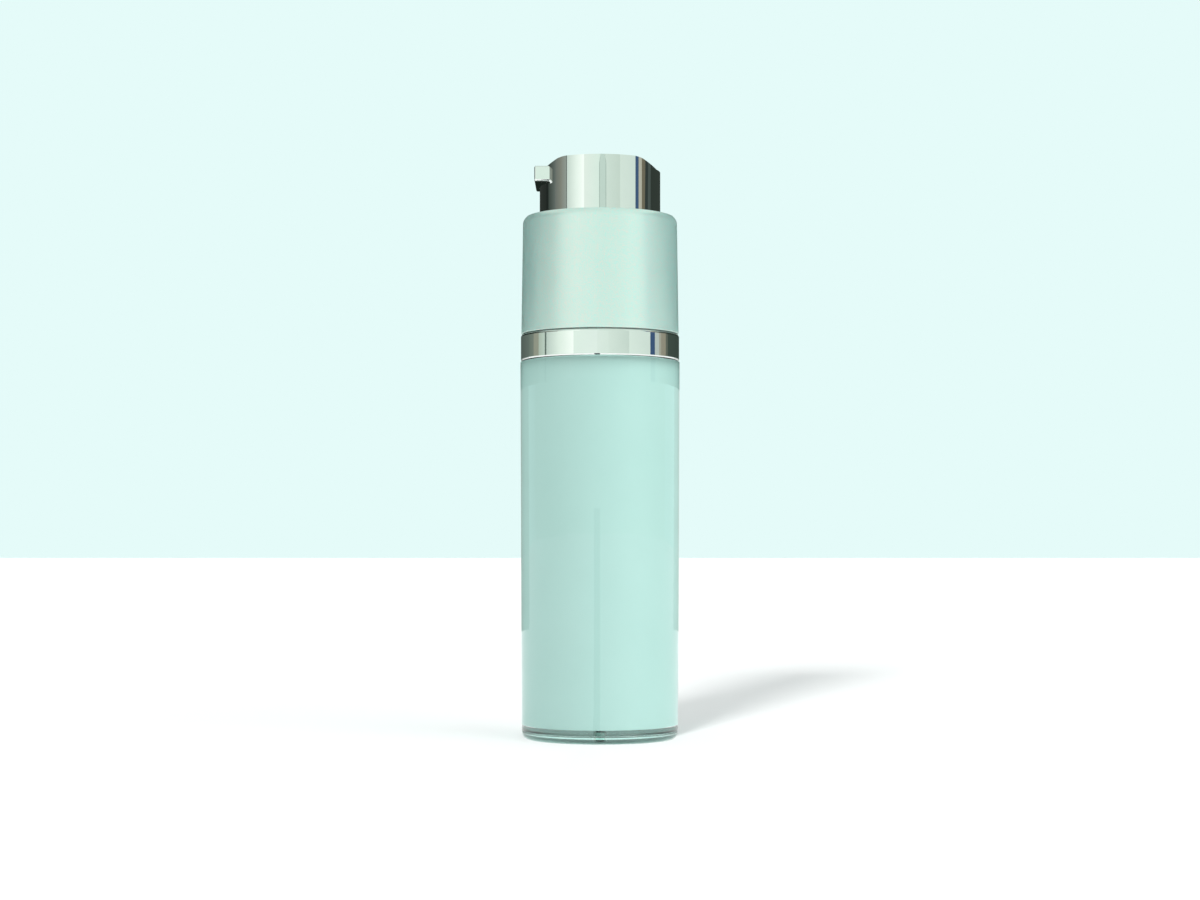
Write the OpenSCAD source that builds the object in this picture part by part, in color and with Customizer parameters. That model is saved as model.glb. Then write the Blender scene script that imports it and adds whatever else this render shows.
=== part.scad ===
// Twist-up airless pump bottle, drawn raised and ready to press.
// The origin is the middle of the underside, +Z is up and the spout points along -X.

/* [Bottle] */
// Height of the base flange, where the clear tube is welded on
base_h = 1.8; // [1.4:0.1:2.2]
// Radius of the base flange
base_r = 17.2; // [17:0.05:17.25]
// Radius of the rounded lower edge of the base
base_round = 1.5; // [1:0.1:1.6]
// Radius of the clear tube at its foot
tube_foot_r = 17.25; // [17.2:0.05:17.4]
// Radius of the clear tube under the bright ring
tube_top_r = 17.55; // [17.45:0.05:17.7]
// Height of the underside of the bright ring
ring_z = 83.1; // [82.5:0.1:83.5]
// Bore of the clear tube, in which the cup stands
tube_bore_r = 14.8; // [14.8:0.05:15]
// Bore of the inner cup, in which the follower slides
cup_bore_r = 13.45; // [13.35:0.05:13.5]
// Height of the floor of the inner cup above the table
cup_z = 2.9; // [2.7:0.1:3.1]

/* [Collar] */
// Radius of the collar at its lower edge
collar_foot_r = 17.35; // [17.3:0.05:17.4]
// Radius of the collar below its rounded shoulder
collar_top_r = 17.0; // [16.9:0.05:17.1]
// Radius of the rounded shoulder
collar_round = 2; // [1.6:0.1:2.2]
// Height where the shoulder starts to curve in
collar_curve_z = 113.3; // [113.2:0.1:113.6]

/* [Lift] */
// How far the head rises in a quarter turn of the collar
lift = 12; // [10:0.5:12]
// Radius of the three guide pins
pin_r = 1.3; // [1.1:0.05:1.3]
// Height of the pins with the head raised
pin_z = 102.7; // [102.5:0.1:102.8]

/* [Head] */
// Radius of the head
head_r = 13.3; // [13.1:0.05:13.3]
// Height of the flat part of the rim, head raised
head_top_z = 126.8; // [126.4:0.1:127.4]
// Height of the flat floor of the finger trough
trough_z = 124.8; // [124.75:0.05:124.9]
// Radius of the curved sides of the finger trough, which runs along X
trough_r = 21.5; // [21:0.1:23]
// Width of the spout
spout_w = 15; // [12:0.1:15]
// Distance of the spout's tip from the middle
spout_reach = 14.3; // [14:0.05:14.3]
// Underside of the spout
spout_z = 121.9; // [121.9:0.1:122.4]
// Top of the spout
spout_top_z = 125.25; // [124.9:0.05:125.6]
// How far the head can be pressed
press = 4; // [3:0.5:4]

/* [Return spring] */
// Radius of the spring wire
wire_r = 0.4; // [0.3:0.05:0.45]
// Number of turns
turns = 7; // [5:1:8]

/* [Hidden] */
$fn = 96;
wall = 1.0;
// Gap between a sliding piece and the wall that guides it
slide_gap = 0.05;
// Gap between two pieces that are pressed or welded together
press_gap = 0.02;
vent_r = 1;

// Foot ring of the base, with its sloping inner side
foot_in_r = 14.7;
foot_recess = 0.6;
foot_slope = 0.5;

// Neck of the bottle
neck_r = 16.4;
neck_z = 86;
cup_top_z = 87;
cup_floor = 1.2;
// Counterbore of the cup, in which the lip of the plug rests
seat_z = cup_top_z - 0.9;
seat_w = 1.15;
plug_top_z = cup_top_z - 0.5;
plug_disc_z = 79.5;
plug_disc_h = 1.5;
neck_tube_z = 66.8;
neck_tube_r = 7;
neck_tube_wall = 0.9;
// Groove for the sealing ring
groove_low_z = 82.9;
groove_h = 1.2;
groove_depth = 1;

// Guide sleeve and the ring round its mouth
guide_r = 13.6;
guide_wall = 1.1;
guide_out_r = guide_r + guide_wall;
guide_top_z = 113;
guide_flange_h = 1.2;
mouth_h = 0.9;
mouth_r = 16.05;
mouth_wall = 0.6;
spout_slot_w = spout_w + 0.6;

// Collar and cam sleeve, which turn together
collar_z = 89.15;
collar_bore_r = 16;
// Wider bore above the cam sleeve, in which the spout goes down
collar_mouth_r = 16.2;
cam_z = 88.35;
cam_top_z = 105.4;
cam_r = guide_out_r + 0.15;
key_w = 1.6;
key_h = 2;

// Slots for the pins
slot_r = pin_r + 0.1;
pin_low_z = pin_z - lift;
pin_reach = 15.75;
cam_turn = 90;
cam_mid_r = (cam_r + collar_bore_r) / 2;
cam_slope = atan(lift / (cam_mid_r * cam_turn * PI / 180));
cam_slot_h = slot_r / cos(cam_slope);
cam_end_r = slot_r + 0.06;
cam_steps = 12;
// Direction of the first pin, seen from above
pin_turn = 20;

// Carrier and pump, which rise with the head
carrier_z = 99;
carrier_floor = 1.4;
carrier_top_z = pin_z + 1.4;
carrier_r = 13.4;
pump_z = 78;
pump_r = 5.6;
pump_flange_r = 7.2;
pump_flange_z = carrier_z + carrier_floor;
pump_top_z = pump_flange_z + 1;
chamber_r = 4.5;
chamber_z = 89.6;
valve_r = 2.2;
valve_z = 86.2;
inlet_r = 1.2;
seat_h = 1.2;
ball_r = 1.5;
ball_z = valve_z - 0.25;
cap_top_z = pump_top_z + 1.6;
seal_z = 79;
seal_h = 1.9;
seal_in_r = pump_r - 0.4;
// Wiper ring round the stem, in its recess under the lid
wiper_h = 0.7;
wiper_r = 3.3;

// Stem and piston
stem_r = 2.2;
stem_bore_r = 0.8;
stem_z = 94.2;
stem_top_z = 117;
stem_foot = 1;
piston_z = 95.3;
piston_h = 4.2;

// Head
head_z = 109.2;
head_wall = 0.9;
head_in_r = head_r - head_wall;
// How far below its flat floor the curved sides of the trough would meet
trough_dip = 0.57;
// Hollow curve that leads the wall out into the underside of the spout
fillet_r = 4;
fillet_h = 1.7;
core_z = 110;
core_plate_z = 115;
core_post_r = 3.3;
core_top_z = 123.75;
outlet_z = 123.35;
outlet_r = 0.6;
outlet_tube_r = 0.95;
insert_x = 12.95;

// Follower
follower_z = cup_z + cup_floor + 0.2;
follower_h = 14;
follower_r = cup_bore_r - slide_gap;
well_r = 8.3;

// Spring
spring_r = 4.3;
spring_z = cap_top_z + wire_r;
spring_top_z = core_plate_z - wire_r - 0.05;
turn_rings = 8;
wire_sides = 6;

// A band in a turned section, from radius r1 to r2 and height z1 to z2
module band(r1, r2, z1, z2) {
    translate([r1, z1]) square([r2 - r1, z2 - z1]);
}

// Three copies, a third of a turn apart
module thirds(first) {
    for (a = [0, 120, 240]) rotate([0, 0, first + a]) children();
}

// A bar along +X from r1 to r2 at height z
module spoke(r, r1, r2, z) {
    translate([r1, 0, z]) rotate([0, 90, 0]) cylinder(r = r, h = r2 - r1);
}

// Foot ring, rounded lower edge, raised spigot for the tube and a vent in the middle
module base_plug() {
    color([0.80, 0.93, 0.90, 0.5]) rotate_extrude() difference() {
        union() {
            band(0, base_r - base_round, 0, base_h);
            band(0, base_r, base_round, base_h);
            translate([base_r - base_round, base_round]) circle(base_round);
            band(0, tube_bore_r - press_gap, base_h, cup_z);
        }
        band(-base_r, vent_r, -1, cup_z + 1);
        polygon([
            [0, -1],
            [foot_in_r, -1],
            [foot_in_r, 0],
            [foot_in_r - foot_slope, foot_recess],
            [0, foot_recess]
        ]);
        band(tube_bore_r - press_gap, base_r + 1, base_h, base_h + base_round);
    }
}

// Thick clear tube, a little wider at the top, with the stepped neck
module outer_bottle() {
    lip = 0.2;
    color([0.80, 0.93, 0.90, 0.5]) rotate_extrude() polygon([
        [tube_bore_r, base_h],
        [tube_foot_r - lip, base_h],
        [tube_foot_r, base_h + lip],
        [tube_top_r, ring_z - lip],
        [tube_top_r - lip, ring_z],
        [neck_r, ring_z],
        [neck_r, neck_z],
        [tube_bore_r, neck_z]
    ]);
}

// Cup that holds the product, hung by its flange on the neck
module inner_bottle() {
    out_r = tube_bore_r - slide_gap;
    round = 1;
    color([0.55, 0.78, 0.74]) rotate_extrude() difference() {
        union() {
            band(0, out_r - round, cup_z, cup_z + 2);
            translate([out_r - round, cup_z + round]) circle(round);
            band(0, out_r, cup_z + round, cup_top_z);
            band(0, neck_r, neck_z, cup_top_z);
        }
        band(-round - out_r, 0, 0, cup_top_z);
        band(0, cup_bore_r, cup_z + cup_floor, cup_top_z + 1);
        band(0, vent_r, cup_z - 1, cup_z + 2);
        band(cup_bore_r - 1, cup_bore_r + seat_w, seat_z, cup_top_z + 1);
    }
}

// Closes the cup: lip, grooved skirt, floor and the long tube in which the pump slides
module neck_plug() {
    skirt_r = cup_bore_r - press_gap;
    skirt_wall = groove_depth + 0.6;
    disc_top_z = plug_disc_z + plug_disc_h;
    lead_in = 0.4;
    color([0.93, 0.96, 0.95]) rotate_extrude() difference() {
        union() {
            band(skirt_r - 1, cup_bore_r + seat_w - slide_gap, seat_z, plug_top_z);
            band(skirt_r - skirt_wall, skirt_r, plug_disc_z, plug_top_z);
            band(neck_tube_r, skirt_r, plug_disc_z, disc_top_z);
            band(neck_tube_r, neck_tube_r + neck_tube_wall, neck_tube_z, disc_top_z);
        }
        band(cup_bore_r - groove_depth, skirt_r + 1, groove_low_z, groove_low_z + groove_h);
        polygon([
            [neck_tube_r - 0.1, disc_top_z - lead_in - 0.1],
            [neck_tube_r + lead_in + 0.1, disc_top_z + 0.1],
            [neck_tube_r - 0.1, disc_top_z + 0.1]
        ]);
    }
}

// Round sealing ring in the groove of the plug
module neck_gasket() {
    color([0.30, 0.32, 0.33]) rotate_extrude()
        translate([cup_bore_r - groove_depth / 2, groove_low_z + groove_h / 2])
            circle(groove_depth / 2 - 0.01);
}

// Fixed sleeve: three upright slots hold the pins from turning, and the wide slot lets
// the spout down
module guide_sleeve() {
    color([0.90, 0.93, 0.92]) difference() {
        rotate_extrude() {
            band(guide_r, cup_bore_r + seat_w - slide_gap, plug_top_z, cup_top_z);
            band(guide_r, neck_r, cup_top_z, cup_top_z + guide_flange_h);
            band(guide_r, guide_out_r, cup_top_z, guide_top_z);
        }
        thirds(pin_turn) {
            translate([guide_r - 1, -slot_r, pin_low_z]) cube([guide_wall + 2, 2 * slot_r, lift]);
            spoke(slot_r, guide_r - 1, guide_out_r + 1, pin_z);
            spoke(slot_r, guide_r - 1, guide_out_r + 1, pin_low_z);
        }
        spout_gap();
    }
}

// Space that the spout passes through on its way down
module spout_gap() {
    translate([-20, -spout_slot_w / 2, cam_top_z - 0.2]) cube([12, spout_slot_w, 20]);
}

// Ring that snaps over the guide sleeve, keeps the cam sleeve down and trims the mouth
module mouth_ring() {
    foot_z = cam_top_z + 0.2;
    color([0.86, 0.92, 0.90]) difference() {
        rotate_extrude() {
            band(guide_out_r, guide_out_r + mouth_wall, foot_z, guide_top_z);
            band(guide_r, mouth_r, guide_top_z, guide_top_z + mouth_h);
        }
        translate([-20, -spout_slot_w / 2, foot_z - 1]) cube([12, spout_slot_w, 20]);
    }
}

// Bright ring at the shoulder, with a thin lip that holds the guide sleeve down
module shoulder_ring() {
    out_r = 17.45;
    top_z = 88.95;
    edge = 0.5;
    in_r = neck_r + slide_gap;
    lip_z = cup_top_z + guide_flange_h + slide_gap;
    color([0.80, 0.82, 0.81]) rotate_extrude() {
        band(in_r, out_r - edge, ring_z, top_z);
        band(in_r, out_r, ring_z + edge, top_z - edge);
        translate([out_r - edge, ring_z + edge]) circle(edge);
        translate([out_r - edge, top_z - edge]) circle(edge);
        band(in_r - 0.3, in_r + 0.1, lip_z, top_z);
    }
}

// The collar that the fingers turn, with a curved shoulder and three keys inside
module collar_shell() {
    chamfer = 0.15;
    centre_r = collar_top_r - collar_round;
    color([0.67, 0.86, 0.82]) {
        rotate_extrude() {
            polygon([
                [collar_bore_r, collar_z],
                [collar_foot_r - chamfer, collar_z],
                [collar_foot_r, collar_z + chamfer],
                [collar_top_r, collar_curve_z],
                [collar_mouth_r, collar_curve_z],
                [collar_mouth_r, cam_top_z + slide_gap],
                [collar_bore_r, cam_top_z + slide_gap]
            ]);
            intersection() {
                translate([centre_r, collar_curve_z]) circle(collar_round);
                band(collar_mouth_r, collar_top_r, collar_curve_z, collar_curve_z + 3);
            }
        }
        thirds(pin_turn + 60) collar_key(collar_bore_r + 0.3);
    }
}

// Block that sits in the notch of the cam sleeve
module collar_key(r) {
    translate([collar_bore_r - 0.5, -key_w / 2, cam_top_z - key_h])
        cube([r - collar_bore_r + 0.5, key_w, key_h]);
}

// Sleeve with three helical slots: a quarter turn carries the pins through the lift
module cam_sleeve() {
    color([0.90, 0.93, 0.92]) difference() {
        rotate_extrude() band(cam_r, collar_bore_r, cam_z, cam_top_z);
        thirds(pin_turn) helical_slot();
        thirds(pin_turn) spoke(cam_end_r, cam_r - 1, collar_bore_r + 1, pin_z);
        thirds(pin_turn + cam_turn) spoke(cam_end_r, cam_r - 1, collar_bore_r + 1, pin_low_z);
        thirds(pin_turn + 60) collar_key(collar_bore_r + 1);
    }
}

// Corners of the slot where the sleeve has turned by the share t of a quarter turn
function slot_ring(t) = [
    for (c = [[0, -1], [1, -1], [1, 1], [0, 1]])
        let (r = c[0] == 0 ? cam_r - 0.5 : collar_bore_r + 0.5)
        [r * cos(t * cam_turn), r * sin(t * cam_turn), pin_z - t * lift + c[1] * cam_slot_h]
];

// Triangles of a closed tube through rings of n points each
function tube_faces(rings, n) = concat(
    [for (i = [1 : n - 2]) [0, i + 1, i]],
    [for (k = [0 : rings - 2], i = [0 : n - 1])
        let (a = k * n + i, b = k * n + (i + 1) % n) [a, b, a + n]],
    [for (k = [0 : rings - 2], i = [0 : n - 1])
        let (a = k * n + i, b = k * n + (i + 1) % n) [a + n, b, b + n]],
    [for (i = [1 : n - 2], last = (rings - 1) * n) [last, last + i, last + i + 1]]
);

module helical_slot() {
    polyhedron(
        points = [for (k = [0 : cam_steps]) each slot_ring(k / cam_steps)],
        faces = tube_faces(cam_steps + 1, 4)
    );
}

// Ring with the three guide pins, ribs and the seat of the pump
module lift_carrier() {
    ring_in_r = carrier_r - 1.2;
    rib_h = 2.2;
    hub_r = pump_flange_r + slide_gap;
    color([0.90, 0.93, 0.92]) {
        rotate_extrude() {
            band(ring_in_r, carrier_r, carrier_z, carrier_top_z);
            band(pump_r + press_gap, carrier_r, carrier_z, carrier_z + carrier_floor);
            band(hub_r, hub_r + wall, carrier_z, cap_top_z);
        }
        thirds(pin_turn) spoke(pin_r, carrier_r - 0.6, pin_reach, pin_z);
        for (a = [30 : 60 : 330]) rotate([0, 0, a])
            translate([hub_r + wall / 2, -wall / 2, carrier_z])
                cube([ring_in_r - hub_r, wall, carrier_floor + rib_h]);
    }
}

// Barrel of the pump: inlet, ball seat, chamber and flange in one bore
module pump_housing() {
    lead_in = 0.6;
    color([0.93, 0.96, 0.95]) rotate_extrude() difference() {
        union() {
            band(0, pump_r, pump_z + lead_in, pump_top_z);
            polygon([
                [0, pump_z],
                [pump_r - lead_in, pump_z],
                [pump_r, pump_z + lead_in],
                [0, pump_z + lead_in]
            ]);
            band(0, pump_flange_r, pump_flange_z, pump_top_z);
        }
        band(-1, inlet_r, pump_z - 1, valve_z);
        polygon([
            [-1, valve_z - seat_h],
            [inlet_r, valve_z - seat_h],
            [valve_r, valve_z],
            [valve_r, chamber_z + 0.1],
            [-1, chamber_z + 0.1]
        ]);
        band(-1, chamber_r, chamber_z, pump_top_z + 1);
        band(seal_in_r, pump_r + 1, seal_z, seal_z + seal_h);
    }
}

// Sliding seal between the barrel and the tube of the plug, with two lips
module housing_seal() {
    lip_r = neck_tube_r - slide_gap;
    slope = 0.3;
    waist_r = lip_r - 0.4;
    color([0.30, 0.32, 0.33]) rotate_extrude() polygon([
        [seal_in_r, seal_z],
        [lip_r - slope, seal_z],
        [lip_r, seal_z + slope],
        [waist_r, seal_z + seal_h / 2],
        [lip_r, seal_z + seal_h - slope],
        [lip_r - slope, seal_z + seal_h],
        [seal_in_r, seal_z + seal_h]
    ]);
}

// Lid of the barrel: guides the stem, stops the piston and seats the spring
module housing_cap() {
    hole_r = stem_r + 0.1;
    skirt_h = 0.8;
    boss_r = spring_r - wire_r - 0.45;
    boss_h = 0.9;
    color([0.93, 0.96, 0.95]) rotate_extrude() difference() {
        union() {
            band(hole_r, pump_flange_r, pump_top_z, cap_top_z);
            band(chamber_r - 1, chamber_r - press_gap, pump_top_z - skirt_h, pump_top_z);
            band(hole_r, boss_r, cap_top_z, cap_top_z + boss_h);
        }
        band(hole_r - 1, wiper_r, pump_top_z - 1, pump_top_z + wiper_h);
    }
}

// Wiper ring under the lid, round the stem
module stem_seal() {
    color([0.30, 0.32, 0.33]) rotate_extrude()
        band(stem_r + slide_gap, wiper_r - press_gap, pump_top_z, pump_top_z + wiper_h);
}

// Ball of the inlet valve
module inlet_ball() {
    color([0.75, 0.77, 0.78]) translate([0, 0, ball_z]) sphere(ball_r);
}

// Piston with a sleeve that slips on the stem and a cup lip at each end
module pump_piston() {
    top_z = piston_z + piston_h;
    lip_r = chamber_r - slide_gap;
    sleeve_r = 3.05;
    cup_in_r = 3.85;
    cup_out_r = lip_r - 0.2;
    web_z = piston_z + 1.6;
    web_top_z = web_z + 1;
    color([0.96, 0.97, 0.97]) rotate_extrude() polygon([
        [stem_r + slide_gap, piston_z],
        [sleeve_r - 0.2, piston_z],
        [sleeve_r, web_z],
        [cup_in_r, web_z],
        [lip_r - 0.25, piston_z + 0.1],
        [lip_r, piston_z + 0.3],
        [cup_out_r, web_z],
        [cup_out_r, web_top_z],
        [lip_r, top_z - 0.4],
        [lip_r - 0.25, top_z - 0.2],
        [cup_in_r, web_top_z],
        [sleeve_r, web_top_z],
        [sleeve_r, top_z],
        [stem_r + slide_gap, top_z]
    ]);
}

// Hollow stem with a foot that closes the piston's sleeve and a cross hole above it
module stem() {
    foot_r = 3.3;
    hole_r = 0.55;
    color([0.93, 0.96, 0.95]) difference() {
        rotate_extrude() difference() {
            union() {
                band(0, stem_r, stem_z, stem_top_z);
                band(0, foot_r, stem_z, stem_z + stem_foot);
            }
            band(-1, stem_bore_r, stem_z + stem_foot + 0.4, stem_top_z + 1);
        }
        spoke(hole_r, -stem_r - 1, stem_r + 1, piston_z + 1.1);
    }
}

// Middle of the spring wire after u turns
function wire_point(u) = [
    spring_r * cos(360 * u),
    spring_r * sin(360 * u),
    spring_z + (spring_top_z - spring_z) * u / turns
];

// Ring of points round the wire after u turns
function wire_ring(u) = [
    for (i = [0 : wire_sides - 1])
        let (a = 360 * i / wire_sides, p = wire_point(u))
        let (out = wire_r * cos(a), up = wire_r * sin(a))
        [p[0] + out * cos(360 * u), p[1] + out * sin(360 * u), p[2] + up]
];

// Least distance between points half a turn or more apart, less the wire
spring_path = [for (k = [0 : turns * turn_rings]) wire_point(k / turn_rings)];
spring_gap = min([
    for (i = [0 : len(spring_path) - 1], j = [i + turn_rings / 2 : len(spring_path) - 1])
        norm(spring_path[i] - spring_path[j]) - 2 * wire_r
]);
echo(spring_gap = spring_gap);

// Coil spring between the lid of the barrel and the plate of the head
module return_spring() {
    rings = turns * turn_rings + 1;
    color([0.70, 0.72, 0.73]) polyhedron(
        points = [for (k = [0 : rings - 1]) each wire_ring(k / turn_rings)],
        faces = tube_faces(rings, wire_sides)
    );
}

// Inner body of the head: socket for the stem, plate, ribs and the channel to the spout
module actuator_core() {
    rim_r = head_in_r - press_gap;
    plate_top_z = core_plate_z + 1.2;
    rib_h = 4.5;
    riser_r = 0.9;
    color([0.90, 0.93, 0.92]) difference() {
        union() {
            rotate_extrude() {
                band(0, core_post_r, core_z, core_top_z);
                band(0, rim_r, core_plate_z, plate_top_z);
                band(rim_r - 1, rim_r, core_z, plate_top_z);
            }
            for (a = [30 : 60 : 330]) rotate([0, 0, a])
                translate([core_post_r - 0.5, -wall / 2, core_plate_z + 0.5])
                    cube([rim_r - core_post_r - 0.5, wall, rib_h]);
            mirror([1, 0, 0]) spoke(outlet_tube_r, 0, insert_x, outlet_z);
        }
        translate([0, 0, core_z - 1])
            cylinder(r = stem_r + 0.01, h = stem_top_z - core_z + 1);
        translate([0, 0, stem_top_z - 0.1])
            cylinder(r = riser_r, h = outlet_z - stem_top_z + 0.1);
        mirror([1, 0, 0]) spoke(outlet_r, 0, insert_x + 1, outlet_z);
    }
}

// Solid that cuts the finger trough, with curved sides over a flat floor, grown by the
// given amount
module trough(grow = 0) {
    intersection() {
        translate([-30, 0, trough_z - trough_dip + trough_r]) rotate([0, 90, 0])
            cylinder(r = trough_r + grow, h = 60);
        translate([-30, -20, trough_z - grow]) cube([60, 40, 20]);
    }
}

// Flat outline of the spout between two levels, with its front corners rounded
module spout_outline(low, high) {
    edge = 0.45;
    translate([-spout_reach + edge, low]) square([8, high - low]);
    translate([-spout_reach, low + edge]) square([8, high - low - 2 * edge]);
    for (y = [low + edge, high - edge])
        translate([-spout_reach + edge, y]) circle(edge);
}

// Block of the spout, rounded along its front edges
module spout() {
    intersection() {
        translate([0, 0, spout_z]) linear_extrude(spout_top_z - spout_z)
            spout_outline(-spout_w / 2, spout_w / 2);
        translate([0, spout_w, 0]) rotate([90, 0, 0]) linear_extrude(2 * spout_w)
            spout_outline(spout_z, spout_top_z);
    }
}

// Flare of the wall under the spout, no wider than the spout
module spout_fillet() {
    centre_z = spout_z - fillet_h;
    intersection() {
        rotate_extrude() difference() {
            band(head_in_r + 0.1, head_r + fillet_r / 2, centre_z, spout_z + 0.1);
            translate([head_r + fillet_r, centre_z]) circle(fillet_r);
        }
        translate([-20, -spout_w / 2, centre_z]) cube([12, spout_w, fillet_h + 0.1]);
    }
}

// Bright cover of the head: round wall, trough for the finger and the spout
module actuator_shell() {
    color([0.80, 0.82, 0.81]) difference() {
        union() {
            translate([0, 0, head_z]) cylinder(r = head_r, h = head_top_z - head_z);
            spout();
            spout_fillet();
        }
        trough();
        difference() {
            translate([0, 0, head_z - 1])
                cylinder(r = head_in_r, h = head_top_z - wall - head_z + 1);
            trough(wall);
        }
        mirror([1, 0, 0])
            spoke(outlet_tube_r + press_gap, -1, spout_reach + 1, outlet_z);
    }
}

// Outlet at the tip of the channel, with a flared mouth
module nozzle_insert() {
    tip_x = spout_reach - 0.3;
    flare = 0.25;
    color([0.86, 0.92, 0.90]) mirror([1, 0, 0]) difference() {
        spoke(outlet_tube_r, insert_x, tip_x, outlet_z);
        spoke(outlet_r, insert_x - 1, tip_x + 1, outlet_z);
        translate([tip_x - flare, 0, outlet_z]) rotate([0, 90, 0])
            cylinder(r1 = outlet_r, r2 = outlet_r + 1.2 * flare, h = 1.2 * flare);
    }
}

// Follower that rises behind the product: two wiping lips and a well for the pump's tube
module follower_piston() {
    low = follower_z;
    top = follower_z + follower_h;
    skin = 0.9;
    floor_h = 1.1;
    lip_h = 2;
    edge_r = follower_r - 0.3;
    edge_h = 0.6;
    body_r = follower_r - 0.5;
    skirt_in_r = body_r - skin;
    color([0.96, 0.97, 0.97]) rotate_extrude() polygon([
        [0, low],
        [well_r + skin, low],
        [well_r + skin, top - floor_h],
        [skirt_in_r, top - floor_h],
        [skirt_in_r, low],
        [edge_r, low],
        [follower_r, low + edge_h],
        [body_r, low + lip_h],
        [body_r, top - lip_h],
        [follower_r, top - edge_h],
        [edge_r, top],
        [well_r, top],
        [well_r, low + floor_h],
        [0, low + floor_h]
    ]);
}

base_plug();
outer_bottle();
inner_bottle();
neck_plug();
neck_gasket();
guide_sleeve();
mouth_ring();
shoulder_ring();
collar_shell();
cam_sleeve();
lift_carrier();
pump_housing();
housing_seal();
housing_cap();
stem_seal();
inlet_ball();
pump_piston();
stem();
return_spring();
actuator_core();
actuator_shell();
nozzle_insert();
follower_piston();
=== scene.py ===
# %% [markdown]
# # A twist-up airless pump bottle
# The bottle stands on a pale floor with its head raised. Its working parts come packed from the
# engineering model. This lesson gives the parts that show a smooth skin and a real finish: clear
# acrylic, mint plastic, satin pearl lacquer and bright plating.

# %% Loading the frame
import math

import bpy
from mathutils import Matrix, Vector


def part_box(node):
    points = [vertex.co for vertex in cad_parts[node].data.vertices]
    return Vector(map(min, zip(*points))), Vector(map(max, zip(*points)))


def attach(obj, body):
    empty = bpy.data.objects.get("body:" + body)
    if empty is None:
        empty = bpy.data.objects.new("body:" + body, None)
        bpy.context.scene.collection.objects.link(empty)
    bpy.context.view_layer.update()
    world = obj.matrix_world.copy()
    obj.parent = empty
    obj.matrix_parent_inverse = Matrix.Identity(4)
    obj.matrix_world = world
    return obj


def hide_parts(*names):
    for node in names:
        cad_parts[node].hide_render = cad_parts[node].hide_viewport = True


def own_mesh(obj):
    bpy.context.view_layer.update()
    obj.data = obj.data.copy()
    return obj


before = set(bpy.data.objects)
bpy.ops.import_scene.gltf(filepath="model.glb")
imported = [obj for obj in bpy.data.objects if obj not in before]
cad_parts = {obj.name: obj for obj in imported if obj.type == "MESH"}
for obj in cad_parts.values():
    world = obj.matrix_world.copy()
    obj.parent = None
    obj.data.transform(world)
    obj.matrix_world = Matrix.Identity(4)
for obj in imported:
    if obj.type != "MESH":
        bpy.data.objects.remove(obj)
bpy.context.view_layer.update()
MM = 0.001
print("packed nodes:", sorted(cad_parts))

# %% [markdown]
# The photograph was taken with a level camera held a little below the middle of the bottle. The
# vertical walls stay upright on the picture, so the camera isn't tilted: the frame is shifted up
# instead, as with a view camera. Tilting it would make the walls lean together.

# %% The camera
PHOTO_W, PHOTO_H = 1200, 900
CAMERA_DISTANCE = 490 * MM
CAMERA_HEIGHT = 42.7 * MM
FOCAL_PIXELS = 2218
HORIZON_Y = 545
SENSOR = 36

camera_data = bpy.data.cameras.new("camera")
camera_data.sensor_width = SENSOR
camera_data.lens = SENSOR * FOCAL_PIXELS / PHOTO_W
camera_data.shift_y = (HORIZON_Y - PHOTO_H / 2) / PHOTO_W
camera_data.clip_start = 0.01
camera = bpy.data.objects.new("camera", camera_data)
camera.location = (0, -CAMERA_DISTANCE, CAMERA_HEIGHT)
camera.rotation_euler = (math.radians(90), 0, 0)
bpy.context.scene.collection.objects.link(camera)
bpy.context.scene.camera = camera
bpy.context.scene.view_settings.view_transform = "Standard"
print("lens in mm:", round(camera_data.lens, 1))

# %% [markdown]
# Every part that shows is a body of revolution or starts as one. A moulder would draw half of its
# section and turn it, and so does this helper: it extrudes one point along the section and spins
# the line once round the axis. Corners are drawn as short arcs, so each edge catches a line of
# light as a moulded edge does. Weighted normals keep the long walls straight in a mirror finish,
# where a bent normal would show at once.

# %% Turning a section
TURN_STEPS = 256
MERGE = 0.0005
SMOOTH_ANGLE = 32


def deselect_all():
    """Leaves nothing selected."""
    for thing in bpy.context.selected_objects:
        thing.select_set(False)


def select_only(piece):
    """Makes a piece the active one and the only one selected."""
    deselect_all()
    bpy.context.view_layer.objects.active = piece
    piece.select_set(True)


def arc(centre_r, centre_z, radius, start, end, steps=6):
    """Points on an arc of the section, angles in degrees, 0 pointing outwards and 90 up."""
    angles = [math.radians(start + (end - start) * k / steps) for k in range(steps + 1)]
    return [(centre_r + radius * math.cos(a), centre_z + radius * math.sin(a)) for a in angles]


def finish_mesh(piece, angle=SMOOTH_ANGLE):
    """Merges doubles, points the faces outwards and smooths all but the sharp edges."""
    select_only(piece)
    bpy.ops.object.mode_set(mode="EDIT")
    bpy.ops.mesh.select_all(action="SELECT")
    bpy.ops.mesh.remove_doubles(threshold=MERGE * MM)
    bpy.ops.mesh.normals_make_consistent(inside=False)
    bpy.ops.object.mode_set(mode="OBJECT")
    bpy.ops.object.shade_smooth_by_angle(angle=math.radians(angle))
    bpy.ops.object.modifier_add(type="WEIGHTED_NORMAL")
    weighted = piece.modifiers[-1]
    weighted.keep_sharp = True
    weighted.weight = 100
    bpy.ops.object.modifier_apply(modifier=weighted.name)
    print(piece.name, "has", len(piece.data.polygons), "faces")


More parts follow.
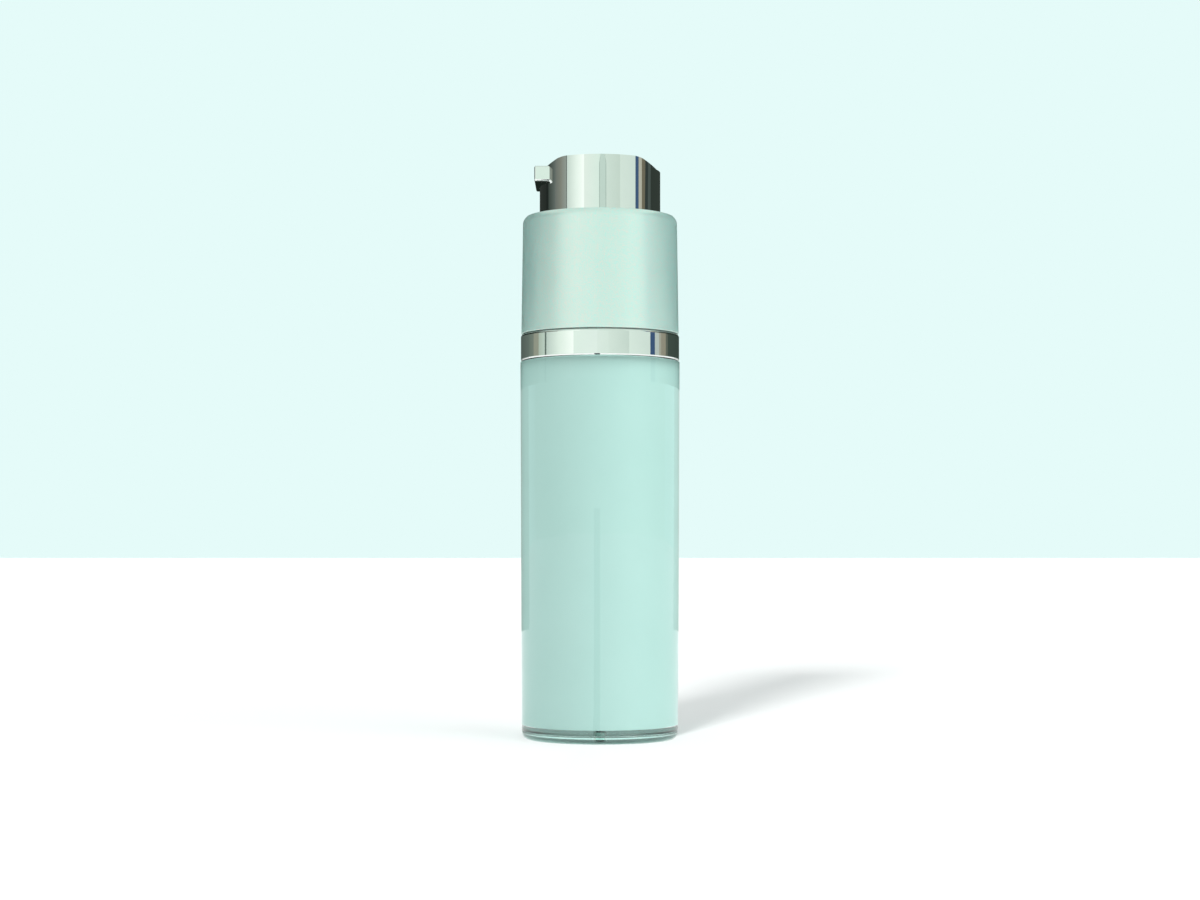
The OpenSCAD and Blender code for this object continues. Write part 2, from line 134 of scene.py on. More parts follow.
def draw_outline(name, points):
    """Extrudes one point along a closed line of (x, y, z) points and stays in edit mode."""
    deselect_all()
    start = [c * MM for c in points[0]]
    bpy.ops.mesh.primitive_plane_add(size=MM, location=start)
    bpy.ops.object.transform_apply(location=True)
    piece = bpy.context.object
    piece.name = name
    bpy.ops.object.mode_set(mode="EDIT")
    bpy.ops.mesh.select_mode(type="VERT")
    bpy.ops.mesh.merge(type="CENTER")
    for point, after in zip(points, points[1:] + points[:1]):
        step = [(b - a) * MM for a, b in zip(point, after)]
        bpy.ops.mesh.extrude_vertices_move(TRANSFORM_OT_translate={"value": step})
    bpy.ops.mesh.select_all(action="SELECT")
    bpy.ops.mesh.remove_doubles(threshold=MERGE * MM)
    return piece


def turn(name, outline):
    """Spins a closed section of (radius, height) points in millimetres round the axis."""
    piece = draw_outline(name, [(r, 0, z) for r, z in outline])
    bpy.ops.mesh.spin(steps=TURN_STEPS, angle=2 * math.pi, center=(0, 0, 0), axis=(0, 0, 1))
    bpy.ops.object.mode_set(mode="OBJECT")
    finish_mesh(piece)
    return piece


def reach(node):
    """Outer radius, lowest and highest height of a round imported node, in millimetres."""
    low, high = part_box(node)
    return high.x / MM, low.z / MM, high.z / MM


def corners_of(node):
    """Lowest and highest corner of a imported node, in millimetres."""
    return [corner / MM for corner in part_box(node)]


# %% [markdown]
# The base is a clear moulding: a foot ring that stands on the table, a rounded lower edge, a
# shallow recess and a raised spigot that is welded into the tube. The spigot touches the mint cup,
# so the flange glows with its colour. A little air stays between the flange and the tube, and that
# gap draws the dark line that is seen near the foot.

# %% The clear base
AIR = 0.03
TOUCH = 0.02
BASE_ROUND, BASE_EDGE = 1.5, 0.15
RECESS_R, RECESS_DEPTH = 14.2, 0.6
FOOT_R = 14.7
VENT_R = 1.0
TUBE_BORE_R = 14.8
SPIGOT_R = TUBE_BORE_R + TOUCH
base_r, base_low, spigot_top = reach("base_plug")
tube_top_r, tube_low, neck_top = reach("outer_bottle")

clear_base = turn("clear_base", [
    (VENT_R, base_low + RECESS_DEPTH),
    (RECESS_R, base_low + RECESS_DEPTH),
    (FOOT_R, base_low),
    *arc(base_r - BASE_ROUND, BASE_ROUND, BASE_ROUND, -90, 0, 12),
    *arc(base_r - BASE_EDGE, tube_low - AIR - BASE_EDGE, BASE_EDGE, 0, 90, 3),
    (SPIGOT_R, tube_low - AIR),
    (SPIGOT_R, spigot_top + TOUCH),
    (VENT_R, spigot_top + TOUCH),
])

# %% [markdown]
# The outer body is a thick acrylic tube. It is a touch wider at the top, because a moulded tube
# needs draft to leave its mould. Its neck steps in and is hidden by the bright ring.

# %% The clear tube
TUBE_FOOT_R = 17.25
TUBE_EDGE = 0.2
NECK_R = 16.4
ring_r, ring_low, ring_high = reach("shoulder_ring")

clear_tube = turn("clear_tube", [
    (TUBE_BORE_R, tube_low),
    *arc(TUBE_FOOT_R - TUBE_EDGE, tube_low + TUBE_EDGE, TUBE_EDGE, -90, 0, 3),
    *arc(tube_top_r - TUBE_EDGE, ring_low - TUBE_EDGE - AIR, TUBE_EDGE, 0, 90, 3),
    (NECK_R, ring_low - AIR),
    (NECK_R, neck_top - AIR),
    (TUBE_BORE_R, neck_top - AIR),
])

# %% [markdown]
# The mint cup inside holds the product. Through the thick clear wall it seems to fill the tube to
# its very edge, because acrylic bends the light. That only happens where cup and tube touch with
# no air between them, so the cup is drawn a hair wider than the bore.

# %% The mint cup
CUP_R = TUBE_BORE_R + TOUCH
CUP_BORE_R = 13.45
CUP_FLOOR = 1.2
CUP_SEAT_R, CUP_SEAT = CUP_BORE_R + 1.15, 0.9
CUP_EDGE = 0.25
cup_flange_r, cup_low, cup_top = reach("inner_bottle")

mint_cup = turn("mint_cup", [
    (VENT_R, cup_low),
    *arc(CUP_R - CUP_EDGE, cup_low + CUP_EDGE, CUP_EDGE, -90, 0, 4),
    (CUP_R, neck_top),
    (cup_flange_r, neck_top),
    (cup_flange_r, cup_top),
    (CUP_SEAT_R, cup_top),
    (CUP_SEAT_R, cup_top - CUP_SEAT),
    (CUP_BORE_R, cup_top - CUP_SEAT),
    (CUP_BORE_R, cup_low + CUP_FLOOR),
    (VENT_R, cup_low + CUP_FLOOR),
])

# %% [markdown]
# The bright ring between body and collar is a plated band. Its edges are rounded over, and that
# rounding is what makes the thin bright lines along its top and bottom.

# %% The bright ring
RING_EDGE = 0.5
RING_BORE_R = NECK_R + 0.05
RING_LIP_R, RING_LIP = NECK_R - 0.25, 0.7

bright_ring = turn("bright_ring", [
    (RING_BORE_R, ring_low),
    *arc(ring_r - RING_EDGE, ring_low + RING_EDGE, RING_EDGE, -90, 0, 8),
    *arc(ring_r - RING_EDGE, ring_high - RING_EDGE, RING_EDGE, 0, 90, 8),
    (RING_LIP_R, ring_high),
    (RING_LIP_R, ring_high - RING_LIP),
    (RING_BORE_R, ring_high - RING_LIP),
])

# %% [markdown]
# The collar is what the fingers turn. It tapers slightly towards the top and closes with a round
# shoulder. Only its outside and its mouth can be seen, but it is drawn as the real sleeve is, with
# its wall and its open inside.

# %% The collar
COLLAR_TOP_R = 17.0
COLLAR_BORE_R = 16.0
COLLAR_MOUTH_R = 16.2
COLLAR_EDGE = 0.15
SHOULDER = 2.0
LIP, LIP_OUT, LIP_DOWN = 0.2, 0.08, 0.06
SLEEVE_GAP = 0.05
collar_r, collar_low, collar_high = reach("collar_shell")
mouth_run = COLLAR_MOUTH_R - COLLAR_TOP_R + SHOULDER
shoulder_z = collar_high - math.sqrt(SHOULDER**2 - mouth_run**2)
mouth_angle = math.degrees(math.acos((mouth_run + LIP) / SHOULDER))
step_z = reach("cam_sleeve")[2] + SLEEVE_GAP

collar_cover = turn("collar_cover", [
    (COLLAR_BORE_R, collar_low),
    *arc(collar_r - COLLAR_EDGE, collar_low + COLLAR_EDGE, COLLAR_EDGE, -90, 0, 3),
    *arc(COLLAR_TOP_R - SHOULDER, shoulder_z, SHOULDER, 0, mouth_angle, 14),
    (COLLAR_MOUTH_R + LIP_OUT, collar_high - LIP_DOWN),
    (COLLAR_MOUTH_R, collar_high - LIP),
    (COLLAR_MOUTH_R, step_z),
    (COLLAR_BORE_R, step_z),
])

# %% [markdown]
# The head and its spout are one moulding, put together here from plain solids. Booleans cut and
# join them, because they keep the curves true. A few helpers add the solids, apply each step and
# clear away the tools.

# %% Helpers for cutting and joining
EDGE_SEGMENTS = 2
EDGE_ANGLE = 30


def add_cylinder(name, radius, depth, centre, turned=(0, 0, 0), sides=TURN_STEPS):
    """Adds a cylinder, sizes in millimetres, and applies its place."""
    deselect_all()
    bpy.ops.mesh.primitive_cylinder_add(
        vertices=sides,
        radius=radius * MM,
        depth=depth * MM,
        location=Vector(centre) * MM,
        rotation=turned,
    )
    bpy.ops.object.transform_apply(location=True, rotation=True, scale=True)
    bpy.context.object.name = name
    return bpy.context.object


def add_box(name, low, high):
    """Adds a box between two corners in millimetres and applies its place."""
    deselect_all()
    low, high = Vector(low), Vector(high)
    bpy.ops.mesh.primitive_cube_add(
        size=1, location=(low + high) / 2 * MM, scale=(high - low) * MM
    )
    bpy.ops.object.transform_apply(location=True, rotation=True, scale=True)
    bpy.context.object.name = name
    return bpy.context.object


def combine(piece, tool, operation):
    """Applies one boolean and removes the tool."""
    select_only(piece)
    modifier = piece.modifiers.new("cut", "BOOLEAN")
    modifier.operation = operation
    modifier.solver = "EXACT"
    modifier.object = tool
    bpy.ops.object.modifier_apply(modifier=modifier.name)
    bpy.data.objects.remove(tool)


def round_edges(piece, width):
    """Bevels the sharp edges by a width in millimetres."""
    select_only(piece)
    modifier = piece.modifiers.new("edges", "BEVEL")
    modifier.width = width * MM
    modifier.segments = EDGE_SEGMENTS
    modifier.limit_method = "ANGLE"
    modifier.angle_limit = math.radians(EDGE_ANGLE)
    bpy.ops.object.modifier_apply(modifier=modifier.name)


def cut_below(piece, height):
    """Cuts everything under a height in millimetres off a closed piece."""
    select_only(piece)
    bpy.ops.object.mode_set(mode="EDIT")
    bpy.ops.mesh.select_all(action="SELECT")
    bpy.ops.mesh.bisect(
        plane_co=(0, 0, height * MM), plane_no=(0, 0, 1), use_fill=True, clear_inner=True
    )
    bpy.ops.object.mode_set(mode="OBJECT")
    return piece


# %% [markdown]
# The spout is a short flat block that lets the lotion out at its tip. All its edges but those at
# the root are bevelled before it joins the head. Later the joint's corner would get in the way.

# %% The spout
SPOUT_HALF = 7.5
SPOUT_LOW, SPOUT_TOP = 121.9, 125.25
SPOUT_ROUND, SPOUT_SEGMENTS = 0.42, 6
SPOUT_ROOT = -6
head_low, head_high = corners_of("actuator_shell")

spout = add_box(
    "spout", (head_low.x, -SPOUT_HALF, SPOUT_LOW), (SPOUT_ROOT, SPOUT_HALF, SPOUT_TOP)
)
for edge in spout.data.edges:
    ends = [spout.data.vertices[i].co.x for i in edge.vertices]
    edge.select = min(ends) < (SPOUT_ROOT - 1) * MM
bpy.ops.object.mode_set(mode="EDIT")
bpy.ops.mesh.select_mode(type="EDGE")
bpy.ops.mesh.bevel(offset=SPOUT_ROUND * MM, segments=SPOUT_SEGMENTS, affect="EDGES")
bpy.ops.object.mode_set(mode="OBJECT")
print("spout has", len(spout.data.polygons), "faces")

# %% [markdown]
# The head is a round cup, upside down, with a trough for the fingertip across its top. The
# trough's section has a flat floor, hollow walls and soft rims, so it is drawn once and stretched
# along the spout's direction. A cylinder alone would leave the rims sharp.

# %% The trough's section
TROUGH_Z = 124.8
TROUGH_R = 21.5
TROUGH_DIP = 0.57
TROUGH_LENGTH = 60
RIM_R = 5
RIM_OVERLAP = 0.005
RIM_END = 92
ABOVE_HEAD = 3
trough_axis = TROUGH_Z - TROUGH_DIP + TROUGH_R


def half_trough():
    """One side of the trough's section as (y, z): flat floor, hollow wall and a soft rim."""
    drop = trough_axis - head_high.z + RIM_R - RIM_OVERLAP
    rim_y = math.sqrt((TROUGH_R + RIM_R)**2 - drop**2)
    meet = math.degrees(math.atan2(drop, rim_y))
    floor_angle = math.degrees(math.acos((trough_axis - TROUGH_Z) / TROUGH_R))
    wall = arc(0, trough_axis, TROUGH_R, floor_angle - 90, -meet, 40)
    rim = arc(rim_y, trough_axis - drop, RIM_R, 180 - meet, RIM_END, 12)
    return [*wall, *rim, (rim_y, head_high.z + ABOVE_HEAD)]


right_side = half_trough()
left_side = [(-y, z) for y, z in reversed(right_side)]
print("the trough's section has", 2 * len(right_side), "points")

# %% The head with its trough and spout
HEAD_R = 13.3
head_cover = add_cylinder(
    "head_cover", HEAD_R, head_high.z - head_low.z, (0, 0, (head_low.z + head_high.z) / 2)
)
trough = draw_outline(
    "trough", [(-TROUGH_LENGTH / 2, y, z) for y, z in right_side + left_side]
)
bpy.ops.mesh.edge_face_add()
bpy.ops.mesh.extrude_region_move(TRANSFORM_OT_translate={"value": (TROUGH_LENGTH * MM, 0, 0)})
bpy.ops.mesh.select_all(action="SELECT")
bpy.ops.mesh.normals_make_consistent(inside=False)
bpy.ops.object.mode_set(mode="OBJECT")
combine(head_cover, trough, "DIFFERENCE")
combine(head_cover, spout, "UNION")
print("head_cover has", len(head_cover.data.polygons), "faces before it is hollowed")

# %% [markdown]
# The head is a thin shell, so a cylinder hollows it from below, and the ceiling inside follows the
# trough. The outlet is a small round hole in the tip. A fine bevel is asked for last. The short
# edges leave it almost no room, so the softness that shows comes from the trough's drawn rims.

# %% The hollow and the outlet
HEAD_WALL = 0.9
TROUGH_WALL = 1
HOLLOW_DEPTH, HOLLOW_Z = 16.6, 117.5
CEILING_SIDES = 512
OUTLET_R, OUTLET_DEPTH, OUTLET_SIDES = 0.97, 6, 64
OUTLET_X, OUTLET_Z = -13, 123.35
HEAD_EDGE = 0.1
sideways = (0, math.radians(90), 0)

hollow = add_cylinder("hollow", HEAD_R - HEAD_WALL, HOLLOW_DEPTH, (0, 0, HOLLOW_Z))
ceiling = add_cylinder(
    "ceiling", TROUGH_R + TROUGH_WALL, TROUGH_LENGTH, (0, 0, trough_axis), sideways, CEILING_SIDES
)
combine(hollow, cut_below(ceiling, TROUGH_Z - TROUGH_WALL), "DIFFERENCE")
combine(head_cover, hollow, "DIFFERENCE")
outlet_hole = add_cylinder(
    "outlet_hole", OUTLET_R, OUTLET_DEPTH, (OUTLET_X, 0, OUTLET_Z), sideways, OUTLET_SIDES
)
combine(head_cover, outlet_hole, "DIFFERENCE")
round_edges(head_cover, HEAD_EDGE)
finish_mesh(head_cover)

# %% [markdown]
# Inside the collar's mouth lies a thin trim ring, open on one side where the spout comes down. It
# is turned like the others, and a box then cuts the gap.

# %% The trim ring in the mouth
MOUTH_R = 16.05
GUIDE_R, GUIDE_OUT_R = 13.6, 14.7
TRIM_WALL = 0.6
TRIM_EDGE = 0.15
SLOT_HALF, SLOT_FAR, SLOT_NEAR = 7.8, -20, -8
mouth_low, mouth_high = corners_of("mouth_ring")
trim_top = mouth_high.z
flange_low = trim_top - 0.9

mouth_trim = turn("mouth_trim", [
    (GUIDE_OUT_R, mouth_low.z),
    (GUIDE_OUT_R + TRIM_WALL, mouth_low.z),
    (GUIDE_OUT_R + TRIM_WALL, flange_low),
    (MOUTH_R, flange_low),
    *arc(MOUTH_R - TRIM_EDGE, trim_top - TRIM_EDGE, TRIM_EDGE, 0, 90, 3),
    *arc(GUIDE_R + TRIM_EDGE, trim_top - TRIM_EDGE, TRIM_EDGE, 90, 180, 3),
    (GUIDE_R, flange_low),
    (GUIDE_OUT_R, flange_low),
])
slot_block = add_box(
    "slot_block",
    (SLOT_FAR, -SLOT_HALF, mouth_low.z - 1),
    (SLOT_NEAR, SLOT_HALF, trim_top + 1),
)
combine(mouth_trim, slot_block, "DIFFERENCE")
finish_mesh(mouth_trim)

# %% [markdown]
# The return spring pushes the head up and gets shorter while it is pressed. The spring is drawn
# again as its own piece: a small circle on edge is screwed up round the axis, and the two ends of
# the wire are closed.

# %% The return spring
WIRE_R, WIRE_SIDES = 0.4, 10
SPRING_TURNS, STEPS_A_TURN = 7, 32
SPRING_SMOOTH_ANGLE = 50
spring_low, spring_high = corners_of("return_spring")
spring_h = spring_high.z - spring_low.z

deselect_all()
bpy.ops.mesh.primitive_circle_add(
    vertices=WIRE_SIDES, radius=WIRE_R * MM, fill_type="NOTHING", rotation=(math.pi / 2, 0, 0),
    location=((spring_high.x - WIRE_R) * MM, 0, (spring_low.z + WIRE_R) * MM),
)
bpy.ops.object.transform_apply(location=True, rotation=True)
coil_spring = bpy.context.object
coil_spring.name = "coil_spring"
bpy.ops.object.modifier_add(type="SCREW")
winding = coil_spring.modifiers[-1]
winding.axis = "Z"
winding.steps = winding.render_steps = STEPS_A_TURN
winding.iterations = SPRING_TURNS
winding.screw_offset = (spring_h - 2 * WIRE_R) / SPRING_TURNS * MM
winding.use_merge_vertices = False
bpy.ops.object.modifier_apply(modifier=winding.name)
bpy.ops.object.mode_set(mode="EDIT")
bpy.ops.mesh.select_mode(type="EDGE")
bpy.ops.mesh.select_all(action="DESELECT")
bpy.ops.mesh.select_non_manifold()
bpy.ops.mesh.fill_holes(sides=0)
bpy.ops.object.mode_set(mode="OBJECT")
finish_mesh(coil_spring, SPRING_SMOOTH_ANGLE)

# %% [markdown]
# Several finishes share the same small effects: a fine grain that breaks up the light, and soft
# marks from handling that change the gloss from place to place. Each effect is a node group, made
# once, and every material sets its own scale and strength.

# %% Shared effects
def new_group(name, inputs, outputs):
    """A shader node group with its sockets and its two end nodes."""
    group = bpy.data.node_groups.new(name, "ShaderNodeTree")
    for label, kind, value in inputs:
        socket = group.interface.new_socket(name=label, in_out="INPUT", socket_type=kind)
        if value is not None:
            socket.default_value = value
    for label, kind in outputs:
        group.interface.new_socket(name=label, in_out="OUTPUT", socket_type=kind)
    return group, group.nodes.new("NodeGroupInput"), group.nodes.new("NodeGroupOutput")


def grain_group():
    """Fine grain: a height for a Bump node, and the same noise as a mask."""
    group, given, result = new_group(
        "fine_grain",
        [("Vector", "NodeSocketVector", None), ("Scale", "NodeSocketFloat", 4000.0)],
        [("Height", "NodeSocketFloat"), ("Mask", "NodeSocketFloat")],
    )
    noise = group.nodes.new("ShaderNodeTexNoise")
    noise.inputs["Detail"].default_value = 3
    noise.inputs["Roughness"].default_value = 0.55
    group.links.new(given.outputs["Vector"], noise.inputs["Vector"])
    group.links.new(given.outputs["Scale"], noise.inputs["Scale"])
    group.links.new(noise.outputs["Fac"], result.inputs["Height"])
    group.links.new(noise.outputs["Fac"], result.inputs["Mask"])
    return group


def marks_group():
    """Handling marks: a value that drifts between two levels over a few millimetres."""
    group, given, result = new_group(
        "handling_marks",
        [
            ("Vector", "NodeSocketVector", None),
            ("Scale", "NodeSocketFloat", 90.0),
            ("Low", "NodeSocketFloat", 0.1),
            ("High", "NodeSocketFloat", 0.2),
        ],
        [("Value", "NodeSocketFloat")],
    )
    noise = group.nodes.new("ShaderNodeTexNoise")
    noise.inputs["Detail"].default_value = 5
    noise.inputs["Distortion"].default_value = 0.4
    spread = group.nodes.new("ShaderNodeMapRange")
    spread.inputs["From Min"].default_value = 0.35
    spread.inputs["From Max"].default_value = 0.65
    group.links.new(given.outputs["Vector"], noise.inputs["Vector"])
    group.links.new(given.outputs["Scale"], noise.inputs["Scale"])
    group.links.new(noise.outputs["Fac"], spread.inputs["Value"])
    group.links.new(given.outputs["Low"], spread.inputs["To Min"])
    group.links.new(given.outputs["High"], spread.inputs["To Max"])
    group.links.new(spread.outputs["Result"], result.inputs["Value"])
    return group


GRAIN = grain_group()
MARKS = marks_group()


def linear(red, green, blue):
    """A colour given as 0 to 255, as the picture shows it, made linear for the shader."""
    parts = [c / 255 for c in (red, green, blue)]
    return [c / 12.92 if c <= 0.04045 else ((c + 0.055) / 1.055) ** 2.4 for c in parts] + [1.0]


def new_material(name):
    """A material with its Principled shader and Object coordinates."""
    material = bpy.data.materials.new(name)
    material.use_nodes = True
    nodes = material.node_tree.nodes
    shader = nodes["Principled BSDF"]
    place = nodes.new("ShaderNodeTexCoord").outputs["Object"]
    return material, shader, place


def add_effect(material, group, place, **values):
    """Places a shared effect in a material with its own values."""
    node = material.node_tree.nodes.new("ShaderNodeGroup")
    node.node_tree = group
    material.node_tree.links.new(place, node.inputs["Vector"])
    for label, value in values.items():
        node.inputs[label].default_value = value
    return node


def add_bump(material, shader, height, strength, distance):
    """Feeds a height to the shader's normal, distance in millimetres."""
    bump = material.node_tree.nodes.new("ShaderNodeBump")
    bump.inputs["Strength"].default_value = strength
    bump.inputs["Distance"].default_value = distance * MM
    material.node_tree.links.new(height, bump.inputs["Height"])
    material.node_tree.links.new(bump.outputs["Normal"], shader.inputs["Normal"])


def two_tones(material, mask, first, second):
    """A colour that moves between two tones with a mask."""
    mix = material.node_tree.nodes.new("ShaderNodeMix")
    mix.data_type = "RGBA"
    material.node_tree.links.new(mask, mix.inputs["Factor"])
    mix.inputs["A"].default_value = first
    mix.inputs["B"].default_value = second
    return mix.outputs["Result"]


def dress(piece, material):
    """Gives a piece one material."""
    piece.data.materials.clear()
    piece.data.materials.append(material)


# %% [markdown]
# Vacuum plating over polished plastic is nearly a mirror. What keeps it from looking computed is a
# very slight unevenness of the gloss and an almost invisible wave in the surface.

# %% Bright plating
def bright_plating():
    material, shader, place = new_material("bright_plating")
    links = material.node_tree.links
    shader.inputs["Metallic"].default_value = 1
    marks = add_effect(material, MARKS, place, Scale=120.0, Low=0.015, High=0.05)
    links.new(marks.outputs["Value"], shader.inputs["Roughness"])
    tint = add_effect(material, GRAIN, place, Scale=300.0)
    tone = two_tones(material, tint.outputs["Mask"], linear(238, 241, 239), linear(244, 246, 244))
    links.new(tone, shader.inputs["Base Color"])
    wave = add_effect(material, GRAIN, place, Scale=50.0)
    add_bump(material, shader, wave.outputs["Height"], 0.05, 0.02)
    return material


plating = bright_plating()
dress(head_cover, plating)
dress(bright_ring, plating)

# %% [markdown]
# The collar carries a satin pearl lacquer. A pearl is made of tiny silvery flakes in a mint base,
# so a fine mask chooses, point by point, between a flake of pale metal and mint plastic. From a
# step away the two melt into one satin sheen that is pale where the room is bright and mint where
# it is dark. A soft clear coat lies on top.

# %% Pearl lacquer
def pearl_lacquer():
    material, shader, place = new_material("pearl_lacquer")
    links = material.node_tree.links
    flake = add_effect(material, GRAIN, place, Scale=16000.0)
    share = material.node_tree.nodes.new("ShaderNodeMapRange")
    share.inputs["From Min"].default_value = 0.43
    share.inputs["From Max"].default_value = 0.59
    links.new(flake.outputs["Mask"], share.inputs["Value"])
    base, silver = linear(164, 238, 229), linear(255, 226, 218)
    tone = two_tones(material, share.outputs["Result"], base, silver)
    links.new(tone, shader.inputs["Base Color"])
    links.new(share.outputs["Result"], shader.inputs["Metallic"])
    marks = add_effect(material, MARKS, place, Scale=70.0, Low=0.285, High=0.295)
    links.new(marks.outputs["Value"], shader.inputs["Roughness"])
    shader.inputs["Coat Weight"].default_value = 0.1
    shader.inputs["Coat Roughness"].default_value = 0.3
    add_bump(material, shader, flake.outputs["Height"], 0.1, 0.01)
    return material


dress(collar_cover, pearl_lacquer())

# %% [markdown]
# The tube and the base are clear acrylic. The colour is almost white with a breath of mint, and
# the gloss is full. It has a real inner wall, so the light bends twice, as it does in the hand.
# Clear plastic also lets the light of the room through to the cup, so for shadow and diffuse rays
# the wall is simply open. A dark grey band of painted shade on the spigot stands in for the shaded
# floor that is seen through the wall near the foot.

# %% Clear acrylic
ACRYLIC_IOR = 1.49
PAINTED_SHADE_LOW, PAINTED_SHADE_HIGH = 1.78, 2.95


def larger(material, first, second):
    """The larger of two values."""
    node = material.node_tree.nodes.new("ShaderNodeMath")
    node.operation = "MAXIMUM"
    material.node_tree.links.new(first, node.inputs[0])
    material.node_tree.links.new(second, node.inputs[1])
    return node.outputs[0]


def clear_acrylic(name, dark, light):
    material, shader, place = new_material(name)
    nodes, links = material.node_tree.nodes, material.node_tree.links
    cloud = add_effect(material, GRAIN, place, Scale=80.0)
    tone = two_tones(material, cloud.outputs["Mask"], linear(*dark), linear(*light))
    links.new(tone, shader.inputs["Base Color"])
    shader.inputs["Transmission Weight"].default_value = 1
    shader.inputs["IOR"].default_value = ACRYLIC_IOR
    marks = add_effect(material, MARKS, place, Scale=60.0, Low=0.0, High=0.02)
    links.new(marks.outputs["Value"], shader.inputs["Roughness"])
    path = nodes.new("ShaderNodeLightPath")
    open_way = nodes.new("ShaderNodeBsdfTransparent")
    mix = nodes.new("ShaderNodeMixShader")
    light_rays = larger(material, path.outputs["Is Shadow Ray"], path.outputs["Is Diffuse Ray"])
    links.new(light_rays, mix.inputs["Fac"])
    links.new(shader.outputs[0], mix.inputs[1])
    links.new(open_way.outputs[0], mix.inputs[2])
    links.new(mix.outputs[0], nodes["Material Output"].inputs["Surface"])
    return material


def tint_by_height(material, low, high, colour):
    """Tints the colour of a material between two heights in millimetres."""
    nodes, links = material.node_tree.nodes, material.node_tree.links
    place = nodes.new("ShaderNodeTexCoord")
    split = nodes.new("ShaderNodeSeparateXYZ")
    links.new(place.outputs["Object"], split.inputs["Vector"])
    band = nodes.new("ShaderNodeMath")
    band.operation = "COMPARE"
    band.inputs[1].default_value = (low + high) / 2 * MM
    band.inputs[2].default_value = (high - low) / 2 * MM
    links.new(split.outputs["Z"], band.inputs[0])
    socket = nodes["Principled BSDF"].inputs["Base Color"]
    mix = nodes.new("ShaderNodeMix")
    mix.data_type = "RGBA"
    links.new(band.outputs[0], mix.inputs["Factor"])
    links.new(socket.links[0].from_socket, mix.inputs["A"])
    mix.inputs["B"].default_value = colour
    links.new(mix.outputs["Result"], socket)


dress(clear_tube, clear_acrylic("clear_acrylic", (244, 253, 251), (250, 255, 254)))
mint_acrylic = clear_acrylic("mint_acrylic", (222, 248, 241), (230, 251, 246))
# Painted shade: a dark grey band in the base's colour between two heights stands in for the shaded
# floor that is seen through the wall near the foot.
tint_by_height(mint_acrylic, PAINTED_SHADE_LOW, PAINTED_SHADE_HIGH, linear(70, 84, 80))
dress(clear_base, mint_acrylic)

# %% [markdown]
# The cup and the working parts are plain moulded plastic. They differ in colour and gloss, so one
# function makes them all: a soft change of tone, a fine grain and a gloss that varies a little.

# %% Moulded plastics
def moulded_plastic(name, dark, light, low, high, grain=0.05):
    material, shader, place = new_material(name)
    links = material.node_tree.links
    cloud = add_effect(material, GRAIN, place, Scale=70.0)
    tone = two_tones(material, cloud.outputs["Mask"], linear(*dark), linear(*light))
    links.new(tone, shader.inputs["Base Color"])
    marks = add_effect(material, MARKS, place, Scale=110.0, Low=low, High=high)
    links.new(marks.outputs["Value"], shader.inputs["Roughness"])
    texture = add_effect(material, GRAIN, place, Scale=3500.0)
    add_bump(material, shader, texture.outputs["Height"], grain, 0.02)
    return material


mint_plastic = moulded_plastic("mint_plastic", (171, 210, 203), (177, 215, 208), 0.32, 0.4)
pale_plastic = moulded_plastic("pale_plastic", (214, 228, 223), (222, 234, 229), 0.38, 0.5)
white_acetal = moulded_plastic("white_acetal", (232, 236, 233), (239, 242, 240), 0.3, 0.4)
milky_plastic = moulded_plastic("milky_plastic", (228, 237, 234), (236, 243, 241), 0.35, 0.45)
soft_white = moulded_plastic("soft_white", (236, 239, 238), (243, 245, 244), 0.45, 0.55)
dark_rubber = moulded_plastic("dark_rubber", (44, 46, 48), (54, 56, 58), 0.55, 0.7, 0.2)
dress(mint_cup, mint_plastic)
dress(mouth_trim, pale_plastic)

# %% [markdown]
# The spring is drawn steel and the valve ball is ground steel. They are hidden inside the bottle,
# but they are finished like the rest, because the parts can be taken apart and looked at one by
# one. Fine streaks in the tone are enough at this size.

# %% Steel
def bright_steel():
    material, shader, place = new_material("bright_steel")
    links = material.node_tree.links
    shader.inputs["Metallic"].default_value = 1
    streak = add_effect(material, GRAIN, place, Scale=1500.0)
    grey, light_grey = linear(196, 200, 202), linear(214, 217, 219)
    tone = two_tones(material, streak.outputs["Mask"], grey, light_grey)
    links.new(tone, shader.inputs["Base Color"])
    marks = add_effect(material, MARKS, place, Scale=200.0, Low=0.16, High=0.28)
    links.new(marks.outputs["Value"], shader.inputs["Roughness"])
    add_bump(material, shader, streak.outputs["Height"], 0.1, 0.01)
    return material


steel = bright_steel()
FINISHES = {
    "neck_plug": milky_plastic,
    "neck_gasket": dark_rubber,
    "guide_sleeve": pale_plastic,
    "cam_sleeve": white_acetal,
    "lift_carrier": white_acetal,
    "pump_housing": milky_plastic,
    "housing_seal": dark_rubber,
    "housing_cap": milky_plastic,
    "stem_seal": dark_rubber,
    "inlet_ball": steel,
    "pump_piston": soft_white,
    "stem": white_acetal,
    "actuator_core": pale_plastic,
    "nozzle_insert": pale_plastic,
    "follower_piston": soft_white,
}
for node_name, finish in FINISHES.items():
    dress(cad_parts[node_name], finish)
dress(coil_spring, steel)
print("inner nodes with a finish:", len(FINISHES))

# %% [markdown]
# Each new piece takes the place of its imported node and moves with the same body, so the collar
# turns, the head rises and the trough stays under the finger. The spring stands on the lift.

# %% Joining the pieces to their bodies
PLACES = [
    (clear_base, "base_plug", "bottle", "clear_shell"),
    (clear_tube, "outer_bottle", "bottle", "clear_shell"),
    (mint_cup, "inner_bottle", "bottle", "mint_cup"),
    (bright_ring, "shoulder_ring", "bottle", "bright_plating"),
    (mouth_trim, "mouth_ring", "bottle", "pale_plastic"),
    (collar_cover, "collar_shell", "collar", "pearl_mint"),
    (head_cover, "actuator_shell", "head", "bright_plating"),
    (coil_spring, "return_spring", "lift", "steel"),
]
for piece, node_name, body, slot in PLACES:
    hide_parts(node_name)
    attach(piece, body)
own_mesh(coil_spring)

